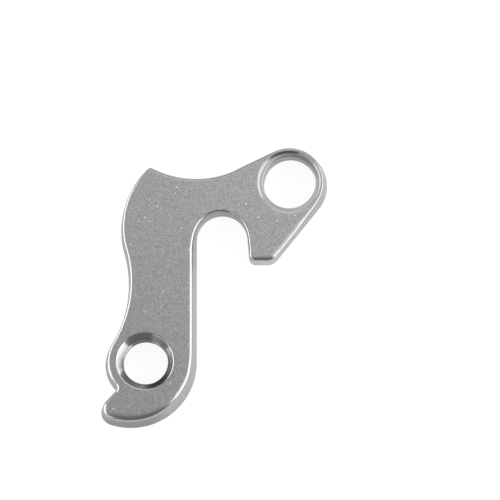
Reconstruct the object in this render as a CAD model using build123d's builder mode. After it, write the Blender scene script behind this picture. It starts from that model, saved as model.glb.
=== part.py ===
"""A bicycle derailleur hanger, forged in one piece from aluminium.

The plate lies on its back face in the XY plane, front face up.  The origin is where the
derailleur's axis meets the back face, +Y runs up the arm towards the axle slot and +Z
points out of the front face.  All lengths are in millimetres and all angles in degrees.
The outline is drawn on the back face, and the walls lean in from there to the front.
"""
import os
from math import atan2, degrees, radians, tan

from build123d import *

# Plate
plate_thickness = 6.0
draft_angle = 5.0
front_edge_radius = 0.6
back_edge_chamfer = 0.3

# Derailleur eye, tapped M10 x 1 and bored here to the thread's minor diameter
thread_bore = 8.92
thread_countersink = 1.2
thread_back_chamfer = 0.4
derailleur_eye_radius = 7.25
derailleur_eye_x = -0.9

# Lobe under the derailleur eye, ending in the claw that the derailleur's stop screw meets
lobe_y = 0.4
stop_start_angle = 226.5
stop_face_angle = 225.3
stop_face_length = 6.8
claw_tip_radius = 2.6
claw_root_radius = 0.5

# Axle slot, open downwards between the arm and the hook
axle_x = 15.0
axle_y = 24.6
axle_slot_width = 10.0

# Hook on the far side of the slot
hook_flare_angle = 4.5
hook_tip_y = 19.8
hook_tip_width = 4.75
hook_inner_corner_radius = 1.4
hook_outer_corner_radius = 2.5

# Frame bolt eye
bolt_x = 28.5
bolt_y = 35.55
bolt_bore = 10.4
bolt_eye_rim = 2.1
bolt_eye_land = 0.15
bolt_back_chamfer = 0.4

# Upper edge: a straight neck from the bolt eye, a hollow saddle and the shoulder corner
neck_angle = 25.3
neck_length = 8.2
shoulder_x = 0.85
shoulder_y = 39.45
shoulder_radius = 1.3

# Left edge: where the derailleur eye's round gives way to the waist, and the waist to the bulge
waist_start_angle = 148.0
bulge_start_x = -4.45
bulge_start_y = 22.35

# Countersinks of both holes, with softened rims
countersink_angle = 90.0
rim_radius = 0.2

bolt = (bolt_x, bolt_y)
derailleur_eye = (derailleur_eye_x, 0)
bolt_eye_radius = bolt_bore / 2 + bolt_eye_rim
arm_x = axle_x - axle_slot_width / 2
shoulder = (shoulder_x, shoulder_y)
bulge_start = (bulge_start_x, bulge_start_y)

# The bolt eye's countersink takes what the leaning wall, the rounded edge and a flat land leave
wall_lean = plate_thickness * tan(radians(draft_angle))
edge_round = front_edge_radius * tan(radians(90 - draft_angle) / 2)
bolt_countersink = bolt_eye_rim - wall_lean - edge_round - bolt_eye_land

with BuildPart() as hanger:
    with BuildSketch() as back_face:
        with BuildLine():
            # Arm wall, slot and the hook's inner wall
            arm_wall = Line((arm_x, lobe_y), (arm_x, axle_y))
            slot = JernArc(arm_wall @ 1, (0, 1), axle_slot_width / 2, hook_flare_angle - 180)
            hook_drop = (slot @ 1).Y - hook_tip_y
            hook_inner_x = (slot @ 1).X + hook_drop * tan(radians(hook_flare_angle))
            hook_inner_corner = (hook_inner_x, hook_tip_y)
            Line(slot @ 1, hook_inner_corner)

            # Hook tip and the sloping back of the hook, which runs up into the bolt eye
            hook_outer_corner = (hook_inner_x + hook_tip_width, hook_tip_y)
            Line(hook_inner_corner, hook_outer_corner)
            bolt_circle = CenterArc(bolt, bolt_eye_radius, 0, 360, mode=Mode.PRIVATE)
            hook_back = ConstrainedLines(
                bolt_circle, hook_outer_corner, selector=lambda lines: lines.sort_by(Axis.X)[-1]
            )
            hook_back_top = hook_back.vertices().sort_by(Axis.Y)[-1]

            # Bolt eye, neck, saddle and shoulder
            bolt_eye_start = degrees(atan2(hook_back_top.Y - bolt_y, hook_back_top.X - bolt_x))
            bolt_eye_sweep = neck_angle + 90 - bolt_eye_start
            bolt_eye = CenterArc(bolt, bolt_eye_radius, bolt_eye_start, bolt_eye_sweep)
            neck = PolarLine(bolt_eye @ 1, neck_length, neck_angle + 180)
            TangentArc(neck @ 1, shoulder, tangent=neck % 1)

            # Round of the derailleur eye, the hollow waist and the full bulge below the shoulder
            eye_sweep = waist_start_angle - stop_start_angle
            eye_round = CenterArc(derailleur_eye, derailleur_eye_radius, stop_start_angle, eye_sweep)
            waist = TangentArc(eye_round @ 1, bulge_start, tangent=eye_round % 1)
            TangentArc(bulge_start, shoulder, tangent=waist % 1)

            # Stop face of the claw, and the lobe that carries it back to the arm
            stop_face = PolarLine(eye_round @ 0, stop_face_length, stop_face_angle)
            TangentArc(arm_wall @ 0, stop_face @ 1, tangent=-(arm_wall % 0))
        make_face()
        rounded_corners = [
            (hook_inner_corner, hook_inner_corner_radius),
            (hook_outer_corner, hook_outer_corner_radius),
            (shoulder, shoulder_radius),
            (eye_round @ 0, claw_root_radius),
            (stop_face @ 1, claw_tip_radius),
        ]
        for corner, radius in rounded_corners:
            fillet(back_face.vertices().sort_by_distance(corner)[0], radius)

    # Plate, with walls that lean in towards the front so that the forging leaves its die
    extrude(amount=plate_thickness)
    draft(hanger.faces().filter_by(Axis.Z, reverse=True), Plane.XY, draft_angle)

    # Rounded front edge and broken back edge, all the way round
    fillet(hanger.faces().sort_by(Axis.Z)[-1].outer_wire().edges(), front_edge_radius)
    chamfer(hanger.faces().sort_by(Axis.Z)[0].outer_wire().edges(), back_edge_chamfer)

    # The two holes, bored square to the faces, countersunk in front and chamfered behind
    holes = [
        ((0, 0), thread_bore, thread_countersink, thread_back_chamfer),
        (bolt, bolt_bore, bolt_countersink, bolt_back_chamfer),
    ]
    for centre, bore, countersink, back_chamfer in holes:
        with Locations((*centre, plate_thickness)):
            CounterSinkHole(bore / 2, bore / 2 + countersink, counter_sink_angle=countersink_angle)
        hole_edges = hanger.edges(Select.LAST).filter_by(GeomType.CIRCLE).group_by(Axis.Z)
        chamfer(hole_edges[0], back_chamfer)
        fillet(hole_edges[1] + hole_edges[2], rim_radius)
hanger.part.label = "hanger_plate"

os.makedirs("parts", exist_ok=True)
export_step(hanger.part, "parts/hanger_plate.step")
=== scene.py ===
"""A forged aluminium derailleur hanger, lying on its back face on a pale studio floor."""

import bpy
import numpy as np
from mathutils import Matrix, Vector
from mathutils.geometry import delaunay_2d_cdt


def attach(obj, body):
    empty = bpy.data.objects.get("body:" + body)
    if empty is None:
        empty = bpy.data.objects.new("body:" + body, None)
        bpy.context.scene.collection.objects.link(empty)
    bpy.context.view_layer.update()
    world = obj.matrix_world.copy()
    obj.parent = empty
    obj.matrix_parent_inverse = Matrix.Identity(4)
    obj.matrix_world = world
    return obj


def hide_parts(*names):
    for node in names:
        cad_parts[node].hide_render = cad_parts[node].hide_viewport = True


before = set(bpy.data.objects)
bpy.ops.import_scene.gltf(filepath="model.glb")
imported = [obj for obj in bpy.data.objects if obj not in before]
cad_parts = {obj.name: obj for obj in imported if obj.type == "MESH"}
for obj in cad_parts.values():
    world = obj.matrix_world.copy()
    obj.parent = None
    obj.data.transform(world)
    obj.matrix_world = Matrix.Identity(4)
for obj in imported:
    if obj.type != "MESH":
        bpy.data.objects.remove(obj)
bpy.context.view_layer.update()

# Outline of the plate
# The hanger is one flat aluminium forging.  Its edge is a closed run of straight walls and arcs, walked
# here on the back face, counter-clockwise from the foot of the arm's straight wall.
MM = 0.001
START = 10.0 + 0.4j
START_HEADING = 90.0
STEP_MM = 0.45
STEP_TURN = 2.0

# Roughness of a wall: blasted like the faces, left dull by the forging die, trimmed smooth, or milled.
SATIN = 0.36
DULL = 1.0
TRIMMED = 0.25
MILLED = 0.22

# One row to a stretch.  A straight one has its length in mm and no turn, an arc its radius in mm and its
# turn in degrees.  Then come the lean of the wall in degrees, how far the front edge is rounded across
# the face and down the wall in mm, and the roughness of the wall.
STRETCHES = np.array([
    (24.2, 0.0, 6.0, 0.75, 0.9, SATIN),              # straight wall of the arm
    (5.0, -175.5, 0.3, 0.6, 0.8, MILLED),            # round top of the axle slot
    (3.914204, 0.0, 3.5, 0.5, 0.8, SATIN),           # inner wall of the hook
    (1.4, 85.5, 1.0, 0.8, 0.9, TRIMMED),             # inner corner of the hook
    (2.263084, 0.0, 0.5, 1.0, 0.9, TRIMMED),         # blunt tip of the hook
    (2.5, 51.012356, 0.5, 1.1, 0.8, TRIMMED),        # outer corner of the hook
    (8.161338, 0.0, 0.5, 1.3, 0.42, SATIN),          # sloping back of the hook
    (5.0, 0.0, 1.5, 0.55, 0.65, SATIN),              # sloping back of the hook, beside the mounting eye
    (7.3, 154.287644, 4.0, 0.4, 0.8, SATIN),         # mounting eye
    (8.2, 0.0, 4.0, 0.5, 0.6, SATIN),                # straight neck
    (18.255352, -53.198236, 5.0, 0.6, 0.6, SATIN),   # hollow saddle
    (1.3, 70.797844, 5.0, 0.6, 0.6, DULL),           # shoulder
    (16.33118, 63.11735, 5.5, 0.6, 0.6, DULL),       # full bulge
    (22.967412, -48.016958, 5.5, 0.65, 0.65, DULL),  # hollow waist
    (7.25, 42.0, 6.5, 0.7, 0.7, DULL),               # derailleur eye, upper side
    (7.25, 32.72513, 4.5, 0.95, 0.85, DULL),         # derailleur eye, lower side
    (0.5, -87.42513, 5.0, 0.6, 0.6, SATIN),          # root of the claw
    (2.813334, 0.0, 5.0, 0.6, 0.6, SATIN),           # stop face
    (2.6, 115.79573, 6.0, 1.0, 0.9, DULL),           # tip of the claw
    (12.999406, 48.90427, 8.0, 1.5, 0.9, DULL),      # underside of the lobe
    (12.999406, 35.0, 9.0, 0.95, 0.9, SATIN),        # outer side of the lobe
    (12.999406, 25.0, 7.5, 0.85, 0.9, SATIN),        # outer side of the lobe, up to the arm
])
reaches, turn_degrees, leans, acrosses, downs, roughs = STRETCHES.T


def travel(start, heading, distance, bend):
    """Point after a distance along an arc that turns by bend radians to the mm: the chord of that arc,
    distance times sin(x)/x with x half the turn so far, set off half the turn from the first heading."""
    half = bend * distance / 2
    return start + distance * np.sinc(half / np.pi) * np.exp(1j * (heading + half))


turns = np.radians(turn_degrees)
lengths = np.where(turns == 0, reaches, reaches * np.abs(turns))
bends = turns / lengths
headings = np.radians(START_HEADING) + np.concatenate(([0], np.cumsum(turns)[:-1]))
chords = travel(0, headings, lengths, bends)
starts = START + np.concatenate(([0], np.cumsum(chords)[:-1]))
counts = np.ceil(np.maximum(lengths / STEP_MM, np.abs(np.degrees(turns)) / STEP_TURN)).astype(int)
which = np.repeat(np.arange(len(counts)), counts)
order = np.arange(len(which)) - np.repeat(np.cumsum(counts) - counts, counts)
gone = lengths[which] * order / counts[which]
path = travel(starts[which], headings[which], gone, bends[which])
inward = 1j * np.exp(1j * (headings[which] + bends[which] * gone))

# Edge of the plate
# The walls lean in by the forging's draft, the front edge has a full round and the back edge a small
# one.  The section, an inset and a height for each angle of its normal, is carried along the outline.
THICKNESS = 6.0
BACK_ROUND = 0.38
BLEND_MM = 3.0
BLEND_SAMPLES = 41
FRONT_STEPS = 16
BACK_STEPS = 8
WALL_STEPS = 6
walked = (np.cumsum(lengths) - lengths)[which] + gone  # distance of each point along the outline


def eased(values):
    """A value of each stretch, carried along the outline and eased from stretch to stretch: the mean of
    the values met within the blend length before and after each point, weighted by a raised cosine."""
    offsets = np.linspace(-1, 1, BLEND_SAMPLES)
    spots = (walked[:, None] + BLEND_MM * offsets[None, :]) % lengths.sum()
    found = np.searchsorted(np.cumsum(lengths), spots, side="right").clip(0, len(lengths) - 1)
    weights = 1 + np.cos(np.pi * offsets)
    return ((values[found] * weights).sum(axis=1) / weights.sum())[:, None]


lean = np.tan(np.radians(eased(leans)))
across = eased(acrosses)
down = eased(downs)
wall_rough = eased(roughs)

# Front edge: a quarter of an ellipse, from the flat face to where it meets the leaning wall.
wall_turn = np.arctan(lean * down / across)
turn = np.pi / 2 + (wall_turn - np.pi / 2) * np.linspace(0, 1, FRONT_STEPS + 1)[None, :]
wall_top = THICKNESS - down + down * np.sin(wall_turn)
front_inset = wall_top * lean + across * (np.cos(wall_turn) - np.cos(turn))
front_height = THICKNESS - down + down * np.sin(turn)
front_tilt = np.arctan2(np.sin(turn) / down, np.cos(turn) / across)

# Back edge: an arc from the wall to the flat back face.
wall_tilt = np.arctan(lean)
back_tilt = wall_tilt - (wall_tilt + np.pi / 2) * np.linspace(0, 1, BACK_STEPS + 1)[None, :]
back_inset = BACK_ROUND * (1 / np.cos(wall_tilt) + lean - np.cos(back_tilt))
back_height = BACK_ROUND * (1 + np.sin(back_tilt))

# Wall: straight from one to the other.
share = np.linspace(0, 1, WALL_STEPS + 1)[None, 1:-1]
wall_inset = front_inset[:, -1:] + (back_inset[:, :1] - front_inset[:, -1:]) * share
wall_height = front_height[:, -1:] + (back_height[:, :1] - front_height[:, -1:]) * share

inset = np.concatenate((front_inset, wall_inset, back_inset), axis=1)
height = np.concatenate((front_height, wall_height, back_height), axis=1)
tilt = np.concatenate((front_tilt, np.broadcast_to(wall_tilt, wall_inset.shape), back_tilt), axis=1)
edge_plan = path[:, None] + inward[:, None] * inset
edge_out = -inward[:, None] * np.cos(tilt)
edge_points = np.stack((edge_plan.real, edge_plan.imag, height), axis=-1)
edge_normals = np.stack((edge_out.real, edge_out.imag, np.sin(tilt)), axis=-1)
edge_rough = np.concatenate((np.full_like(front_tilt, SATIN), np.broadcast_to(wall_rough, wall_inset.shape),
                             np.broadcast_to(wall_rough, back_tilt.shape)), axis=1)

# The front round is rubbed smooth: the rubbing sets in a few degrees over from the face, and it fades
# in the last degrees before the wall.
RUB_FROM = 8.0
RUB_RISE = 20.0
RUB_FADE = 15.0
turned_over = np.degrees(np.pi / 2 - tilt)
above_wall = np.degrees(tilt - wall_tilt)
edge_polish = np.clip((turned_over - RUB_FROM) / RUB_RISE, 0, 1) * np.clip(above_wall / RUB_FADE, 0, 1)

# Mounting hole
# Bored square to the faces after forging, with a shallow seat in front and a chamfer behind.
# A bore is a profile of radius and height, with softened corners, turned round the hole's axis.
BACK_CHAMFER = 0.4
BACK_RIM_ROUND = 0.1
RIM_STEPS = 7
MOUNT_CENTRE = 28.5 + 35.55j
MOUNT_RADIUS = 5.2
MOUNT_MOUTH = np.array([1.0 + 0j, 0.8 - 0.47j, 0 - 0.53j])
MOUNT_ROUNDS = np.array([0.3, 0.3, 0.15])
MOUNT_SIDES = 180
MOUNT_STEP_MM = 0.05
SEAT_SHALLOWEST = 0.15


def bore_profile(radius, mouth, mouth_rounds):
    """Radius plus i times height along a bore, from the front face to the back face: the mouth's slopes,
    whose corners are set off from where the wall meets the front face, then the wall and the back
    chamfer, with an arc in place of each corner.  A point 1 mm out on each face gives the first and the
    last corner their direction.  Each arc leaves the straight line before its corner at radius times
    tan(half the turn) and is sampled by its chords."""
    front = radius + 1j * THICKNESS
    corners = np.concatenate(([front + mouth[0] + 1], front + mouth, [
        radius + 1j * BACK_CHAMFER, radius + BACK_CHAMFER, radius + BACK_CHAMFER + 1]))
    rounds = np.concatenate((mouth_rounds, [BACK_RIM_ROUND, BACK_RIM_ROUND]))
    lines = np.angle(np.diff(corners))
    turned = (np.diff(lines) + np.pi) % (2 * np.pi) - np.pi
    run = rounds * np.abs(turned)
    begin = corners[1:-1] - rounds * np.tan(np.abs(turned) / 2) * np.exp(1j * lines[:-1])
    share = np.linspace(0, 1, RIM_STEPS + 1)
    arcs = travel(begin[:, None], lines[:-1, None], run[:, None] * share, (turned / run)[:, None])
    return arcs.ravel()


def run_along(profile):
    """Distance along a bore's profile in mm, from the front face: the running sum of its steps."""
    return np.concatenate(([0], np.cumsum(np.abs(np.diff(profile)))))


def spread(profile, step):
    """The same profile, sampled again at even steps of its length."""
    far = run_along(profile)
    even = np.linspace(0, far[-1], int(np.ceil(far[-1] / step)) + 1)
    return np.interp(even, far, profile.real) + 1j * np.interp(even, far, profile.imag)


def askew(profile, mouth, share):
    """Heights of a bore whose mouth keeps only a share of its depth at each angle.  Each height is lifted
    by the rest, in proportion to its depth in the mouth and, down the wall, to what is left of the wall."""
    depth = -mouth[-1].imag
    below = THICKNESS - profile.imag[None, :]
    wall_left = (THICKNESS - BACK_CHAMFER - below) / (THICKNESS - BACK_CHAMFER - depth)
    lifted = np.maximum(np.minimum(below, depth * wall_left), 0)
    return THICKNESS - below + (1 - share[:, None]) * lifted


def turned_points(centre, radii, heights, angles):
    """Points on a turned surface: the centre plus the radius at each angle, at each height."""
    plan = centre + radii * np.exp(1j * angles[:, None])
    return np.stack((plan.real, plan.imag, np.broadcast_to(heights, plan.shape)), axis=-1)


def ring_normals(points):
    """Normals of a surface closed round its first axis: the cross product of its two tangents.  The first
    and last rows lie in the plate's faces and take those faces' normals."""
    around = np.roll(points, -1, axis=0) - np.roll(points, 1, axis=0)
    along = np.gradient(points, axis=1)
    normals = np.cross(along, around)
    normals /= np.linalg.norm(normals, axis=-1, keepdims=True)
    normals[:, 0] = (0, 0, 1)
    normals[:, -1] = (0, 0, -1)
    return normals


# The seat is cut a little askew: its depth falls from the top of the hole to the bottom as the sine of
# the angle.
mount_angles = -np.linspace(0, 2 * np.pi, MOUNT_SIDES, endpoint=False)
mount_profile = spread(bore_profile(MOUNT_RADIUS, MOUNT_MOUTH, MOUNT_ROUNDS), MOUNT_STEP_MM)
seat_share = (1 + SEAT_SHALLOWEST + (1 - SEAT_SHALLOWEST) * np.sin(mount_angles)) / 2
mount_height = askew(mount_profile, MOUNT_MOUTH, seat_share)
mount_points = turned_points(MOUNT_CENTRE, mount_profile.real[None, :], mount_height, mount_angles)

# Thread of the derailleur eye
# A right-hand metric thread, tapped through a countersunk bore.  The bore's radius grows to the root
# between the crests: a triangle wave of height less its turn about the axis, cut flat at crest and root.
THREAD_CENTRE = 0.0 + 0.0j
THREAD_CREST = 4.46
THREAD_ROOT = 5.0
THREAD_PITCH = 1.0
THREAD_MOUTH = np.array([1.2 + 0j, 0 - 1.2j])
THREAD_ROUNDS = np.array([0.45, 0.1])
THREAD_SIDES = 240
THREAD_STEP_MM = 0.045
CREST_FLAT = 0.25
ROOT_FLAT = 0.125
RUN_OUT_MM = 0.45
thread_angles = -np.linspace(0, 2 * np.pi, THREAD_SIDES, endpoint=False)
thread_profile = spread(bore_profile(THREAD_CREST, THREAD_MOUTH, THREAD_ROUNDS), THREAD_STEP_MM)

# The countersink is shallower towards the claw: a raised cosine of the angle from there.
CLAW_ANGLE = 243.0
CLAW_HALF_ANGLE = 57.0
CLAW_LOSS = 0.36
from_claw = (np.degrees(thread_angles) - CLAW_ANGLE + 180) % 360 - 180
countersink_share = 1 - CLAW_LOSS * (1 + np.cos(np.pi * np.clip(from_claw / CLAW_HALF_ANGLE, -1, 1))) / 2
thread_height = askew(thread_profile, THREAD_MOUTH, countersink_share)

# The groove runs out over the last half millimetre at both ends, so that the bore's rims stay whole.
wave = np.abs(2 * ((thread_height / THREAD_PITCH - thread_angles[:, None] / (2 * np.pi)) % 1) - 1)
groove = np.clip((wave - CREST_FLAT) / (1 - CREST_FLAT - ROOT_FLAT), 0, 1)
thread_top = THICKNESS + THREAD_MOUTH[-1].imag * countersink_share[:, None]
groove = groove * np.clip(np.minimum(thread_height, thread_top - thread_height) / RUN_OUT_MM, 0, 1)
grooved = THREAD_CREST + (THREAD_ROOT - THREAD_CREST) * groove
thread_radius = np.maximum(thread_profile.real[None, :], grooved)
thread_radius[:, 0] = thread_profile.real[0]
thread_radius[:, -1] = thread_profile.real[-1]
thread_points = turned_points(THREAD_CENTRE, thread_radius, thread_height, thread_angles)

# Faces of the plate
# The flat front and back faces are stretched between the edge and the two holes, and every surface shares
# its border points with its neighbours, so that the plate is one closed skin.
FILL_INSIDE = 1
MERGE_MM = 1e-6
blocks = [edge_points, mount_points, thread_points]
block_normals = [edge_normals, ring_normals(mount_points), ring_normals(thread_points)]
block_polish = [edge_polish, np.ones(mount_points.shape[:2]), np.ones(thread_points.shape[:2])]
block_rough = [edge_rough, np.full(mount_points.shape[:2], SATIN), np.full(thread_points.shape[:2], SATIN)]
block_rings = [np.zeros(edge_polish.shape), np.tile(run_along(mount_profile), (MOUNT_SIDES, 1)),
               np.tile(run_along(thread_profile), (THREAD_SIDES, 1))]
for border in (0, -1):
    edge_rough[:, border] = SATIN
    for grid in block_polish + block_rings:
        grid[:, border] = 0
points = np.concatenate([b.reshape(-1, 3) for b in blocks])
normals = np.concatenate([n.reshape(-1, 3) for n in block_normals])
sizes = [b.shape[0] * b.shape[1] for b in blocks]
firsts = np.concatenate(([0], np.cumsum(sizes)[:-1]))


def grid_quads(first, around, along):
    """Corner numbers of the squares of a grid that is closed round its first axis."""
    number = first + np.arange(around * along).reshape(around, along)
    after = np.roll(number, -1, axis=0)
    return np.stack((number[:, :-1], number[:, 1:], after[:, 1:], after[:, :-1]), axis=-1).reshape(-1, 4)


def flat_face(row):
    """Triangles of a flat face between the border loops in one row of every grid: a Delaunay fill of the
    loops, less the triangles that have all three corners on the rim of one hole."""
    loops = [first + np.arange(b.shape[0]) * b.shape[1] + row % b.shape[1]
             for first, b in zip(firsts, blocks)]
    border = np.concatenate(loops)
    closed = np.concatenate([np.stack((loop, np.roll(loop, -1)), axis=-1) for loop in loops])
    place = np.zeros(len(points), int)
    place[border] = np.arange(len(border))
    _, _, corners, sources, _, _ = delaunay_2d_cdt(
        points[border, :2].tolist(), place[closed].tolist(), [], FILL_INSIDE, MERGE_MM)
    triangles = border[np.array(sources)[:, 0][np.array(corners)]]
    owner = np.searchsorted(firsts, triangles, side="right")
    in_hole = (owner.min(axis=1) == owner.max(axis=1)) & (owner[:, 0] > 1)
    return triangles[~in_hole]


quads = np.concatenate([grid_quads(f, b.shape[0], b.shape[1]) for f, b in zip(firsts, blocks)])
front_face = flat_face(0)
back_face = flat_face(-1)[:, ::-1]

plate_mesh = bpy.data.meshes.new("forged_plate")
plate_mesh.from_pydata((points * MM).tolist(), [],
                       quads.tolist() + front_face.tolist() + back_face.tolist())
plate_mesh.polygons.foreach_set("use_smooth", np.ones(len(plate_mesh.polygons), bool))
plate_mesh.normals_split_custom_set_from_vertices(normals.tolist())
for name, grids in (("polish", block_polish), ("rough", block_rough), ("rings", block_rings)):
    values = np.concatenate([g.ravel() for g in grids]).astype(np.float32)
    plate_mesh.attributes.new(name, "FLOAT", "POINT").data.foreach_set("value", values)
plate = bpy.data.objects.new("forged_plate", plate_mesh)
bpy.context.scene.collection.objects.link(plate)

# Finish of the plate
# Aluminium, bead-blasted and clear anodised.  The eye gets an even satin grey with a fine grain and a few
# painted glints, bright specks in the colour that stand for the sparkle of the blasting, while the rounds
# and the bores, rubbed or cut afterwards, are smooth and catch the light.
BLASTED_LIGHT = "#BCBDC0"
BLASTED_DARK = "#8C8C8E"
RUBBED = "#A5A5A7"
# The next colour is a painted glint: the bright specks that stand for the sparkle of the blasted grain.
PAINTED_GLINT = "#F0F0F2"
RUBBED_ROUGHNESS = 0.2

# The dimples of the blasting, the painted glints of its sparkle and the turning marks in the bores are
# drawn coarser than they are likely to be on the real part, where they would be too fine to show in the
# picture.
GRAIN_MM = 0.19
GRAIN_DETAIL = 2.0
GRAIN_DARKEST, GRAIN_LIGHTEST = 0.3, 0.7
GLINT_SPACING_MM = 1.25
GLINT_RADIUS_MM = 0.21
GLINT_CORE = 0.5
TURNING_MM = 0.16
DIMPLE_DEPTH = 0.02 * MM
DIMPLE_STRENGTH = 0.5
RUBBED_STRENGTH = 0.05
TURNING_STRENGTH = 0.3

# Places of the two colours and of the result among the sockets of a mix node.
MIX_A, MIX_B, MIX_RESULT = 6, 7, 2


def linear(hex_colour):
    """Linear RGBA of an sRGB hex colour: each channel by the sRGB curve."""
    srgb = np.array([int(hex_colour[k:k + 2], 16) for k in (1, 3, 5)]) / 255
    flat = np.where(srgb <= 0.04045, srgb / 12.92, ((srgb + 0.055) / 1.055) ** 2.4)
    return (*flat.tolist(), 1.0)


def add(tree, kind, settings=(), values=(), links=()):
    """Adds a node with its settings, its input values and its links, which are (input, node, output)."""
    node = tree.nodes.new(kind)
    for name, value in dict(settings).items():
        setattr(node, name, value)
    for name, value in dict(values).items():
        node.inputs[name].default_value = value
    for name, source, output in links:
        tree.links.new(source.outputs[output], node.inputs[name])
    return node


blasted = bpy.data.materials.new("blasted_anodised_aluminium")
blasted.use_nodes = True
tree = blasted.node_tree
tree.nodes.clear()
place = add(tree, "ShaderNodeTexCoord")
worn = add(tree, "ShaderNodeAttribute", {"attribute_name": "polish"})
wall = add(tree, "ShaderNodeAttribute", {"attribute_name": "rough"})
ring = add(tree, "ShaderNodeAttribute", {"attribute_name": "rings"})

# Colour: the mottle of the grain, then the painted glints, bright specks that stand for the sparkle of the
# blasting, each of its own size, then the rubbed places.
grain = add(tree, "ShaderNodeTexNoise",
            values={"Scale": 1 / (GRAIN_MM * MM), "Detail": GRAIN_DETAIL},
            links=[("Vector", place, "Object")])
mottle = add(tree, "ShaderNodeMapRange", values={"From Min": GRAIN_DARKEST, "From Max": GRAIN_LIGHTEST},
             links=[("Value", grain, "Fac")])
tone = add(tree, "ShaderNodeMix", {"data_type": "RGBA"},
           values={MIX_A: linear(BLASTED_DARK), MIX_B: linear(BLASTED_LIGHT)},
           links=[("Factor", mottle, "Result")])
# Painted glints: bright specks mixed into the colour in place of the sparkle of the blasted grain.
glint_cells = add(tree, "ShaderNodeTexVoronoi", values={"Scale": 1 / (GLINT_SPACING_MM * MM)},
             links=[("Vector", place, "Object")])
chance = add(tree, "ShaderNodeSeparateColor", links=[("Color", glint_cells, "Color")])
rim = add(tree, "ShaderNodeMath", {"operation": "MULTIPLY"}, values={1: GLINT_RADIUS_MM / GLINT_SPACING_MM},
          links=[(0, chance, "Red")])
glint_centre = add(tree, "ShaderNodeMath", {"operation": "MULTIPLY"}, values={1: GLINT_CORE}, links=[(0, rim, 0)])
glint_mask = add(tree, "ShaderNodeMapRange",
            links=[("Value", glint_cells, "Distance"), ("From Min", rim, 0), ("From Max", glint_centre, 0)])
colour = add(tree, "ShaderNodeMix", {"data_type": "RGBA"}, values={MIX_B: linear(PAINTED_GLINT)},
             links=[("Factor", glint_mask, "Result"), (MIX_A, tone, MIX_RESULT)])
rubbed = add(tree, "ShaderNodeMix", {"data_type": "RGBA"}, values={MIX_B: linear(RUBBED)},
             links=[("Factor", worn, "Fac"), (MIX_A, colour, MIX_RESULT)])

# Sheen and relief: rubbing smooths the metal and wears the dimples down, and the bores keep turning marks.
sheen = add(tree, "ShaderNodeMapRange", values={"To Max": RUBBED_ROUGHNESS},
            links=[("Value", worn, "Fac"), ("To Min", wall, "Fac")])
strength = add(tree, "ShaderNodeMapRange", values={"To Min": DIMPLE_STRENGTH, "To Max": RUBBED_STRENGTH},
               links=[("Value", worn, "Fac")])
marks = add(tree, "ShaderNodeTexNoise", {"noise_dimensions": "1D"},
            values={"Scale": 1 / TURNING_MM, "Detail": GRAIN_DETAIL}, links=[("W", ring, "Fac")])
turned = add(tree, "ShaderNodeBump", values={"Strength": TURNING_STRENGTH, "Distance": DIMPLE_DEPTH},
             links=[("Height", marks, "Fac")])
relief = add(tree, "ShaderNodeBump", values={"Distance": DIMPLE_DEPTH},
             links=[("Height", grain, "Fac"), ("Strength", strength, "Result"),
                    ("Normal", turned, "Normal")])
metal = add(tree, "ShaderNodeBsdfPrincipled", values={"Metallic": 1.0},
            links=[("Base Color", rubbed, MIX_RESULT), ("Roughness", sheen, "Result"),
                   ("Normal", relief, "Normal")])
add(tree, "ShaderNodeOutputMaterial", links=[("Surface", metal, "BSDF")])
plate_mesh.materials.append(blasted)
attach(plate, "root")
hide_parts("hanger_plate")

# Floor
# A sheet of matt white studio paper, wide and plain, just under the plate's back face.  It shows white to
# the camera, pale in the metal, and still takes the plate's shadow.
FLOOR_HALF = 3.0
FLOOR_HEIGHT = -0.02 * MM
PAPER = (0.9, 0.9, 0.9, 1.0)
WHITE = (1.0, 1.0, 1.0, 1.0)
WHITE_STRENGTH = 1.05
WHITE_TO_CAMERA = 0.88
WHITE_IN_METAL = 0.32
corner_signs = ((-1, -1), (1, -1), (1, 1), (-1, 1))
floor_mesh = bpy.data.meshes.new("floor")
floor_mesh.from_pydata([(x * FLOOR_HALF, y * FLOOR_HALF, FLOOR_HEIGHT) for x, y in corner_signs], [],
                       [(0, 1, 2, 3)])
floor = bpy.data.objects.new("floor", floor_mesh)
bpy.context.scene.collection.objects.link(floor)
paper = bpy.data.materials.new("white_paper_sweep")
paper.use_nodes = True
tree = paper.node_tree
tree.nodes.clear()
ray = add(tree, "ShaderNodeLightPath")
mirrored = add(tree, "ShaderNodeMath", {"operation": "MAXIMUM"},
               links=[(0, ray, "Is Glossy Ray"), (1, ray, "Is Transmission Ray")])
dimmed = add(tree, "ShaderNodeMath", {"operation": "MULTIPLY"}, values={1: WHITE_IN_METAL},
             links=[(0, mirrored, 0)])
part = add(tree, "ShaderNodeMath", {"operation": "MULTIPLY_ADD"}, values={1: WHITE_TO_CAMERA},
           links=[(0, ray, "Is Camera Ray"), (2, dimmed, 0)])
matt = add(tree, "ShaderNodeBsdfDiffuse", values={"Color": PAPER})
white = add(tree, "ShaderNodeEmission", values={"Color": WHITE, "Strength": WHITE_STRENGTH})
mixed = add(tree, "ShaderNodeMixShader", links=[("Fac", part, 0), (1, matt, 0), (2, white, 0)])
add(tree, "ShaderNodeOutputMaterial", links=[("Surface", mixed, 0)])
floor_mesh.materials.append(paper)

# Studio light
# Soft lights: a broad one overhead, a large low one on each side, a smaller one at the front left and one
# behind, and three weak ones high up that lift parts of the edges.  The room round them is a dim grey.
AIM = Vector((20.48, 22.93, 0.0)) * MM
ROOM_GREY = "#929292"


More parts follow.
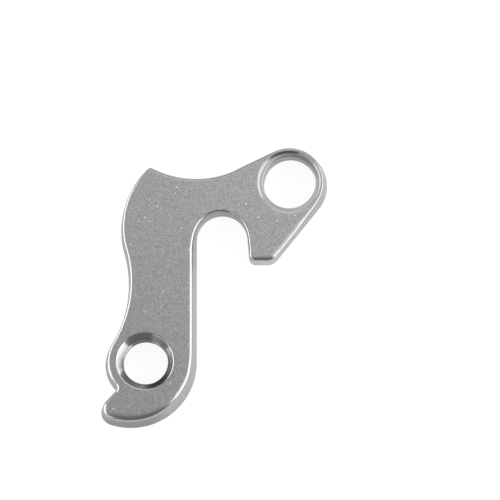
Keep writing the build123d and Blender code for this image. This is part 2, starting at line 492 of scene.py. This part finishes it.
def soft_light(name, place_mm, size_mm, power):
    """A rectangular soft light at a place, turned to face the hanger."""
    data = bpy.data.lights.new(name, "AREA")
    data.shape = "RECTANGLE"
    data.size, data.size_y = (s * MM for s in size_mm)
    data.energy = power
    lamp = bpy.data.objects.new(name, data)
    lamp.location = Vector(place_mm) * MM
    lamp.rotation_mode = "QUATERNION"
    lamp.rotation_quaternion = (AIM - lamp.location).to_track_quat("-Z", "Y")
    lamp.visible_camera = False
    bpy.context.scene.collection.objects.link(lamp)


soft_light("overhead", (134, 160, 290), (580, 340), 0.635)
soft_light("right", (720, 0, 345), (1240, 690), 7.25)
soft_light("left", (-700, 100, 330), (950, 600), 5.2)
soft_light("front_left", (-450, -500, 280), (480, 300), 0.8)
soft_light("behind", (-250, 780, 350), (1000, 500), 0.55)
soft_light("front_right", (256, -72, 450), (170, 170), 0.11)
soft_light("front", (20, -130, 520), (500, 160), 0.055)
soft_light("upper_left", (-280, 60, 460), (300, 300), 0.12)

world = bpy.data.worlds.new("studio_room")
bpy.context.scene.world = world
world.use_nodes = True
room = world.node_tree.nodes["Background"]
room.inputs["Color"].default_value = linear(ROOM_GREY)
room.inputs["Strength"].default_value = 1.0

# Camera
# It looks down on the front face through a long lens, leaning a little to the front and to one side.
# The leans are how far a point shifts in the picture for each mm that it stands above the floor.
PX_PER_MM = 5.05
FRAME_PX = 500
SENSOR_MM = 36.0
DISTANCE_MM = 3000.0
FAR_LIMIT = 10.0
LEAN_X = 0.045
LEAN_Y = 0.145
right = Vector((1, 0, -LEAN_X)).normalized()
back = right.cross(Vector((0, (1 - LEAN_Y ** 2) ** 0.5, LEAN_Y))).normalized()
up = back.cross(right)
lens = bpy.data.cameras.new("camera")
lens.sensor_width = SENSOR_MM
lens.lens = SENSOR_MM * DISTANCE_MM * PX_PER_MM / FRAME_PX
lens.clip_end = FAR_LIMIT
camera = bpy.data.objects.new("camera", lens)
camera.matrix_world = Matrix((right, up, back)).transposed().to_4x4()
camera.location = AIM + back * DISTANCE_MM * MM
bpy.context.scene.collection.objects.link(camera)
bpy.context.scene.camera = camera

bpy.context.scene.view_settings.view_transform = "Standard"
